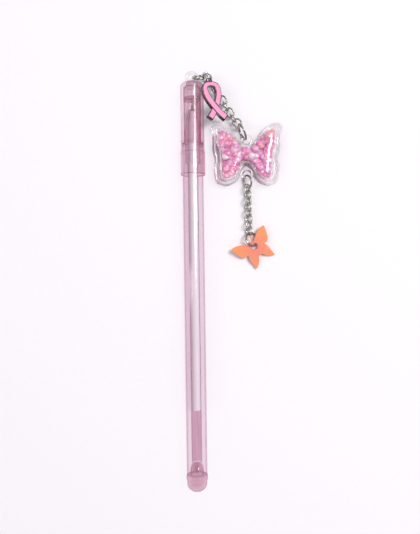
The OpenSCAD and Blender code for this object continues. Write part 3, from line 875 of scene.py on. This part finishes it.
def offset_points(loop, distance):
    """The loop's points moved inwards by distance, or outwards if it is negative."""
    ahead = np.roll(loop, -1, axis=0) - np.roll(loop, 1, axis=0)
    normal = np.stack([-ahead[:, 1], ahead[:, 0]], 1) / np.linalg.norm(ahead, axis=1)[:, None]
    x, y = loop.T
    turn = np.sign((x * np.roll(y, -1) - np.roll(x, -1) * y).sum())
    points = loop + normal * distance * turn
    return points[np.abs(distance_to(loop, points) - distance) < 0.05 * abs(distance) + 0.01]


def grid_inside(loop, pitch, margin):
    """Points of a staggered grid that lie more than margin inside the loop."""
    lo, hi = loop.min(0), loop.max(0)
    xs, ys = np.meshgrid(np.arange(lo[0], hi[0], pitch), np.arange(lo[1], hi[1], pitch))
    points = np.stack([xs.ravel(), ys.ravel()], 1)
    points[:, 0] += (np.round((points[:, 1] - lo[1]) / pitch) % 2) * pitch / 2
    return points[distance_to(loop, points) > margin]


def build_case():
    """One clear shell: sculpted top, side wall, flat back, eyelets, and the cavity for the flakes."""
    bm = bmesh.new()

    def lift(points, heights):
        return [bm.verts.new(CASE_AT + Vector((x, y, z)) * MM) for (x, y), z in zip(points, heights)]

    rings = [offset_points(outline, d)
             for d in (0.1, 0.22, 0.38, 0.58, 0.85, 1.08, 1.22, 1.35, 1.48, 1.62, 1.85)]
    near = [offset_points(window, d)
            for d in (1.7, 1.3, 0.9, 0.6, 0.38, 0.2, 0.05, -0.1, -0.25, -0.45, -0.75)]
    near = [p[distance_to(outline, p) > 1.9] for p in near]
    grid = grid_inside(outline, 0.45, 2.0)
    grid = grid[np.abs(distance_to(window, grid) - 0.5) > 1.35]
    flat, faces = triangulate([outline], np.concatenate(rings + near + [grid]))
    is_edge = distance_to(outline, flat) < 0.02
    heights = relief(flat)
    heights[is_edge] = EDGE_TOP
    top = lift(flat, heights)
    in_window = distance_to(window, flat) > 0.3
    for f in faces:
        bm.faces.new([top[i] for i in f]).material_index = int(all(in_window[i] for i in f))
    back = lift(flat, np.where(is_edge, 0.35, 0.02))
    for f in faces:
        bm.faces.new([back[i] for i in reversed(f)])
    border = {tuple(sorted((a, b))) for f in faces for a, b in zip(f, f[1:] + f[:1])
              if is_edge[a] and is_edge[b]}
    for a, b in border:
        if sum(a in f and b in f for f in faces if a in f) == 1:
            bm.faces.new([top[a], top[b], back[b], back[a]])
    bmesh.ops.recalc_face_normals(bm, faces=bm.faces)
    outer_faces = set(bm.faces)

    flat, faces = triangulate([window], grid_inside(window, 0.5, 0.2))
    depth = distance_to(window, flat)
    is_edge = depth < 0.02
    roof = lift(flat, RIM_TOP - 0.6 + np.where(depth > 0, dome(depth), 0) * 0.92)
    base = lift(flat, np.full(len(flat), BACK_T))
    for f in faces:
        bm.faces.new([roof[i] for i in reversed(f)]).material_index = 1
        bm.faces.new([base[i] for i in f]).material_index = 1
    for f in faces:
        for a, b in zip(f, f[1:] + f[:1]):
            if is_edge[a] and is_edge[b] and sum(a in g and b in g for g in faces if a in g) == 1:
                bm.faces.new([roof[a], roof[b], base[b], base[a]])
    cavity = [f for f in bm.faces if f not in outer_faces]
    bmesh.ops.recalc_face_normals(bm, faces=cavity)
    bmesh.ops.reverse_faces(bm, faces=cavity)
    add_object("butterfly_case", to_mesh(bm, "case"), "case", ["case", "window"],
               ["case_back", "case_front"], sharp=50)

    radius, wire = 2.0, 0.6
    for name, y in (("top_eyelet", 5.25), ("bottom_eyelet", -8.3)):
        bm = bmesh.new()
        centre = CASE_AT + Vector((0, y, 3.2)) * MM
        rows = []
        for k in range(56):
            a = 2 * math.pi * k / 56
            row = []
            for j in range(16):
                b = 2 * math.pi * j / 16
                r = radius + wire * math.cos(b)
                local = Vector((r * math.cos(a), r * math.sin(a), wire * math.sin(b)))
                row.append(bm.verts.new(centre + local * MM))
            rows.append(row)
        join_rows(bm, rows)
        add_object(name, to_mesh(bm, name), "case", ["case"], [])


def build_flakes():
    """Film flakes of three colours, lying nearly flat in four layers in the wings of the case."""
    places = []
    levels, tries = 4, 190
    for level in range(levels):
        for _ in range(tries):
            x, y = random.uniform(-11, 11), random.uniform(-9.6, 9.6)
            d = distance_to(window, np.array([(x, y)]))[0]
            size = random.uniform(0.9, 1.75)
            if d > min(size * 0.75, 0.9) + 0.15:
                z = BACK_T + 0.35 + level * 0.85 + random.uniform(0, 0.4)
                if z < RIM_TOP - 0.5 + dome(np.array([d]))[0] * 0.85 - 0.35 - size * 0.2:
                    places.append((x, y, z, size, random.random()))
    groups = {"pink": [], "orange": [], "pearl": []}
    for place in places:
        pick = random.random()
        groups["pink" if pick < 0.76 else "orange" if pick < 0.91 else "pearl"].append(place)
    for kind, members in groups.items():
        bm = bmesh.new()
        layer = bm.faces.layers.float.new("flake")
        for x, y, z, size, tone in members:
            sides = random.choice((7, 12, 20, 20))
            turn = random.uniform(0, math.tau)
            tilt = Matrix.Rotation(math.radians(random.uniform(0, 18)), 3,
                                   Vector((math.cos(turn), math.sin(turn), 0)))
            centre = CASE_AT + Vector((x, y, z)) * MM
            curl = random.uniform(-0.05, 0.05)
            ring = []
            for k in range(sides):
                a = turn + math.tau * k / sides
                r = size * (1 + 0.14 * math.sin(2 * a + tone * 9) + 0.07 * math.sin(3 * a + tone * 6))
                local = Vector((r * math.cos(a), r * math.sin(a), curl * math.cos(2 * a)))
                ring.append(bm.verts.new(centre + tilt @ local * MM))
            middle = bm.verts.new(centre)
            made = [bm.faces.new([ring[k], ring[(k + 1) % sides], middle]) for k in range(sides)]
            for f in made:
                f[layer] = tone
        piece = add_object(kind + "_flakes", to_mesh(bm, kind), "case", [kind], [kind + "_sequins"],
                           sharp=3)
        solid = piece.modifiers.new("film", "SOLIDIFY")
        solid.thickness = 0.06 * MM


# ---------------------------------------------------------------------------------------------
# Everything together
# ---------------------------------------------------------------------------------------------

make_camera()
make_world(0.52)
make_softbox("key", (0.48, 0.29, 1.1), (0.0, 0.03, 0), (0.36, 0.6), 10.3)
make_softbox("fill", (-0.8, 0.0, 0.9), (0.0, 0, 0), (0.12, 0.9), 1.9)
make_floor(materials["floor"])

build_barrel()
build_end_plug()
build_front_section()
build_refill()
build_tip()
build_cap()
build_cap_loop()
build_case()
build_flakes()

# Each link's beads start elsewhere, so that neighbours don't look alike
for body, members in frame["record"]["behaviour"]["bodies"].items():
    for member in members:
        if "_link_" in member:
            number = int(member.rsplit("_", 1)[1])
            build_link(member, body, number * 1.3)

for node in ("cap_ring", "ribbon_ring", "case_ring", "lower_ring", "pendant_ring"):
    dress(node, "ring")
dress("ribbon_base", "ribbon", bevel=0.08)
dress("ribbon_enamel", "enamel", bevel=0.05)
dress("pendant_butterfly", "pendant", bevel=0.03, slim=0.085)
dress("ink_column", "ink")
dress("ink_follower", "follower")
dress("writing_ball", "ball")
dress("cap_seal", "seal")

# Enough steps for light to get through all the clear walls that can lie one behind another
scene = bpy.context.scene
scene.view_settings.view_transform = "Standard"
scene.cycles.transparent_max_bounces = 40
scene.cycles.max_bounces = 24
scene.cycles.transmission_bounces = 20
